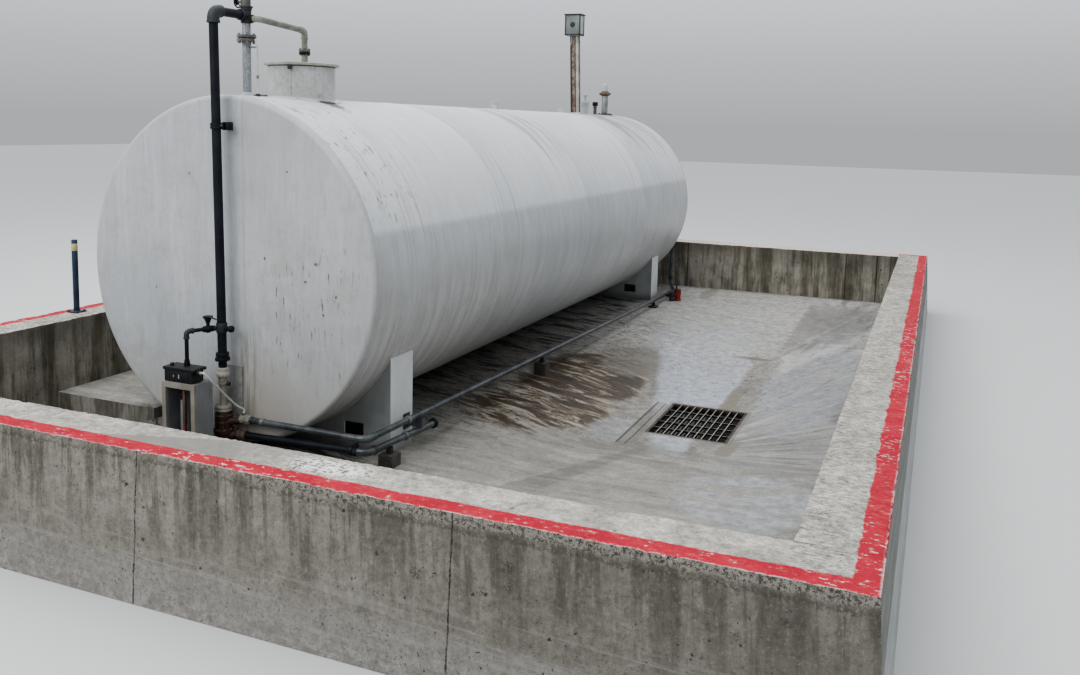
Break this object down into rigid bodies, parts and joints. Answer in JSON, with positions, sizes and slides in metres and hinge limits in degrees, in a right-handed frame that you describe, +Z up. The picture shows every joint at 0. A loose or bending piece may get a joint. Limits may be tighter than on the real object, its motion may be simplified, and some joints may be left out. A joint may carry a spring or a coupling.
{
  "type": "horizontal storage tank in a concrete bund",
  "caption": "Pale horizontal cylindrical storage tank on box saddles inside an open concrete bund with red-striped walls, sloped floor, floor pipes, pump, cabinet and top fittings.",
  "frame": {"origin": "middle of the bund's footprint, on the ground plane under its floor slab", "axes": "+Y along the tank from its piped end to its plain end, +Z up, +X towards the open sloped side of the bund"},
  "size_m": [6.82, 10.64, 3.872],
  "materials": {
    "bund_concrete": "cast concrete, stained and pitted, with a worn red stripe on the wall tops",
    "floor_concrete": "trowelled concrete with wet and oily stains",
    "tank_paint": "weathered satin off-white paint with dirt streaks",
    "saddle_paint": "weathered grey paint",
    "black_pipe": "satin black paint",
    "grey_pipe": "dark grey gloss paint",
    "galvanised": "dull galvanised",
    "cream_paint": "dirty cream paint",
    "pump_paint": "rusty dark red paint",
    "cabinet_paint": "grey sheet steel, scuffed",
    "black_plastic": "satin black",
    "red_paint": "red gloss paint",
    "rusty_steel": "rusted",
    "post_paint": "dark blue paint",
    "cable_grey": "light grey sheath"
  },
  "bodies": {
    "root": {"bund_front_wall": "bund_concrete", "bund_rear_wall": "bund_concrete", "bund_left_wall": "bund_concrete", "bund_right_wall": "bund_concrete", "floor_tank_slab": "floor_concrete", "floor_front_corner": "floor_concrete", "side_plinth": "floor_concrete", "floor_fall_left": "floor_concrete", "floor_fall_right": "floor_concrete", "floor_fall_front": "floor_concrete", "floor_fall_rear": "floor_concrete", "sump_trough": "floor_concrete", "drain_grate": "rusty_steel", "marker_post": "post_paint", "tank_shell": "tank_paint", "tank_front_end": "tank_paint", "tank_rear_end": "tank_paint", "manway_neck": "tank_paint", "manway_lid": "tank_paint", "front_saddle": "saddle_paint", "rear_saddle": "saddle_paint", "front_wear_plate": "saddle_paint", "rear_wear_plate": "saddle_paint", "front_lifting_lug": "saddle_paint", "rear_lifting_lug": "saddle_paint", "riser_pipe": "black_pipe", "riser_clamp": "black_pipe", "branch_pipe": "black_pipe", "branch_valve": "black_pipe", "fill_flange": "black_pipe", "lower_pipe": "black_pipe", "top_tee_valve": "grey_pipe", "main_pipe": "grey_pipe", "pipe_bracket": "grey_pipe", "pipe_support_front": "grey_pipe", "pipe_support_middle": "grey_pipe", "pipe_support_rear": "grey_pipe", "rear_pipe": "grey_pipe", "vent_valve": "grey_pipe", "standpipe": "galvanised", "rear_standpipe": "galvanised", "mast_box": "galvanised", "mast_post": "rusty_steel", "capped_nozzle": "tank_paint", "crossover_pipe": "cream_paint", "check_valve": "cream_paint", "cabinet_frame": "cream_paint", "cabinet_body": "cabinet_paint", "wall_plate": "cabinet_paint", "switch_box": "black_plastic", "pump_body": "pump_paint", "red_valve": "red_paint", "cable_conduit": "cable_grey"}
  },
  "joints": []
}
